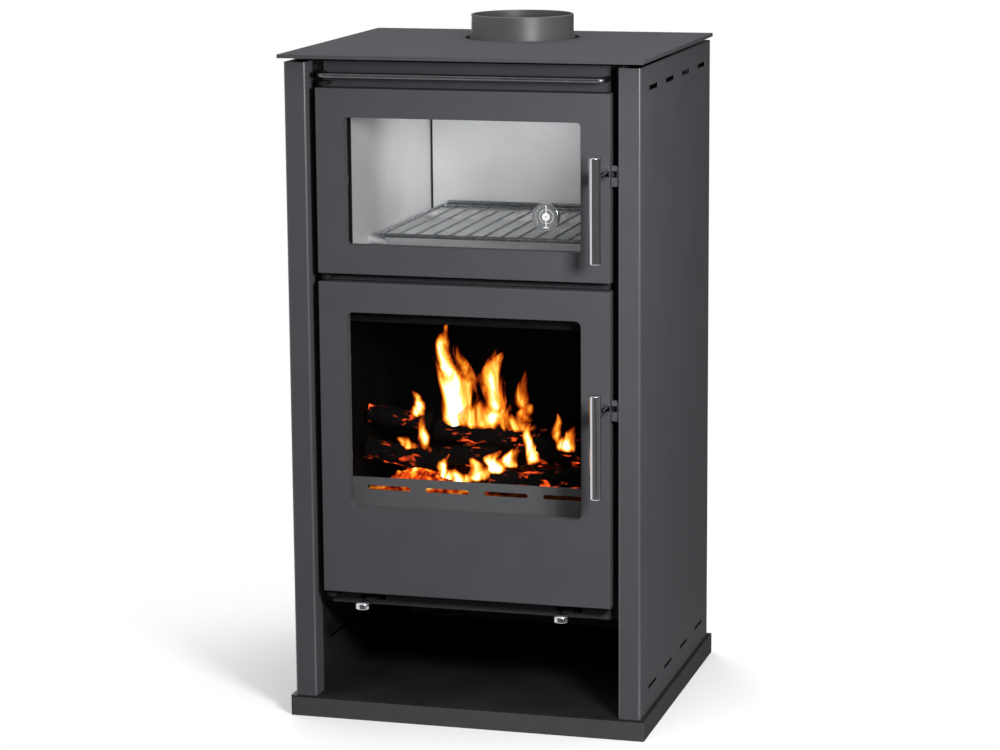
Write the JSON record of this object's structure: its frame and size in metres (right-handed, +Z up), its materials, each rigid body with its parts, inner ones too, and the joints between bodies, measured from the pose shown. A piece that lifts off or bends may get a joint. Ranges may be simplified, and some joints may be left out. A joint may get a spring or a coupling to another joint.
{
  "type": "wood stove with oven",
  "caption": "Free-standing wood stove with an open log store, a glazed firebox door, a glazed oven door with a thermometer, turning bar handles and a round flue collar on top.",
  "frame": {"origin": "on the floor at the centre of the plinth's underside", "axes": "+X to the right seen from the front, +Y from the front to the back, +Z up; the doors face -Y"},
  "size_m": [0.513, 0.5085, 0.9705],
  "materials": {
    "grey_stove_paint": "satin heat-resistant paint on sheet steel",
    "black_stove_paint": "matt heat-resistant paint on sheet steel",
    "zinc_plated_steel": "bright zinc plating",
    "chromed_steel": "polished chrome plating",
    "oven_steel": "cold-rolled stainless sheet",
    "clear_glass": "clear heat-resistant glass",
    "glass_fibre_rope": "braided glass-fibre rope and tape",
    "firebrick": "sooted pressed vermiculite",
    "cast_iron": "raw casting",
    "dial_face": "printed aluminium dial",
    "needle_white": "white enamel"
  },
  "bodies": {
    "cabinet": {"plinth_tray": "grey_stove_paint", "left_side_panel": "grey_stove_paint", "right_side_panel": "grey_stove_paint", "back_panel": "grey_stove_paint", "cross_rails": "grey_stove_paint", "top_plate": "grey_stove_paint", "flue_collar": "grey_stove_paint", "latch_keepers": "grey_stove_paint", "log_guard": "grey_stove_paint", "body_front": "black_stove_paint", "log_store_floor": "black_stove_paint", "log_store_walls": "black_stove_paint", "inner_wrap": "black_stove_paint", "smoke_roof": "black_stove_paint", "body_floor": "black_stove_paint", "ash_shelf": "black_stove_paint", "grate_bed": "black_stove_paint", "top_plate_spacers": "black_stove_paint", "hinge_lugs": "black_stove_paint", "hinge_pins": "black_stove_paint", "casing_screws": "zinc_plated_steel", "ash_pan": "zinc_plated_steel", "ash_pan_handle": "zinc_plated_steel", "oven_rack": "chromed_steel", "front_rail": "chromed_steel", "oven_shell": "oven_steel", "rack_studs": "oven_steel", "firebox_lining": "firebrick", "grate": "cast_iron"},
    "oven_door": {"oven_door_panel": "grey_stove_paint", "oven_door_liner": "black_stove_paint", "oven_door_seal": "glass_fibre_rope", "oven_glass": "clear_glass", "oven_glass_gasket": "glass_fibre_rope", "oven_glass_clips": "zinc_plated_steel", "oven_glass_screws": "zinc_plated_steel", "oven_door_bushes": "zinc_plated_steel", "thermometer_case": "chromed_steel", "thermometer_dial": "dial_face", "thermometer_lens": "clear_glass", "thermometer_stem": "chromed_steel"},
    "thermometer_hand": {"thermometer_needle": "needle_white"},
    "oven_handle": {"oven_handle_bar": "chromed_steel", "oven_handle_spindle": "chromed_steel", "oven_latch_tongue": "zinc_plated_steel"},
    "firebox_door": {"firebox_door_panel": "grey_stove_paint", "firebox_door_liner": "black_stove_paint", "firebox_door_seal": "glass_fibre_rope", "firebox_glass": "clear_glass", "firebox_glass_gasket": "glass_fibre_rope", "firebox_glass_clips": "zinc_plated_steel", "firebox_glass_screws": "zinc_plated_steel", "firebox_door_bushes": "zinc_plated_steel"},
    "firebox_handle": {"firebox_handle_bar": "chromed_steel", "firebox_handle_spindle": "chromed_steel", "firebox_latch_tongue": "zinc_plated_steel"},
    "primary_air": {"primary_air_slide": "zinc_plated_steel", "primary_air_knob": "chromed_steel"},
    "secondary_air": {"secondary_air_slide": "zinc_plated_steel", "secondary_air_knob": "chromed_steel"}
  },
  "joints": [
    {"name": "oven_door_hinge", "type": "hinge", "parent": "cabinet", "child": "oven_door", "pos_m": [-0.198, -0.211, 0.763], "axis": [0, 0, -1], "range_deg": [0, 110]},
    {"name": "firebox_door_hinge", "type": "hinge", "parent": "cabinet", "child": "firebox_door", "pos_m": [-0.198, -0.211, 0.403], "axis": [0, 0, -1], "range_deg": [0, 110]},
    {"name": "oven_handle_turn", "type": "hinge", "parent": "oven_door", "child": "oven_handle", "pos_m": [0.1985, -0.221, 0.7835], "axis": [0, 1, 0], "range_deg": [0, 90]},
    {"name": "firebox_handle_turn", "type": "hinge", "parent": "firebox_door", "child": "firebox_handle", "pos_m": [0.1985, -0.221, 0.4635], "axis": [0, 1, 0], "range_deg": [0, 90]},
    {"name": "primary_air_slide", "type": "slide", "parent": "cabinet", "child": "primary_air", "axis": [1, 0, 0], "range_m": [-0.013, 0.013]},
    {"name": "secondary_air_slide", "type": "slide", "parent": "cabinet", "child": "secondary_air", "axis": [1, 0, 0], "range_m": [-0.013, 0.013]},
    {"name": "thermometer_turn", "type": "hinge", "parent": "oven_door", "child": "thermometer_hand", "pos_m": [0.1155, -0.21, 0.722], "axis": [0, 1, 0], "range_deg": [-130, 130]}
  ]
}
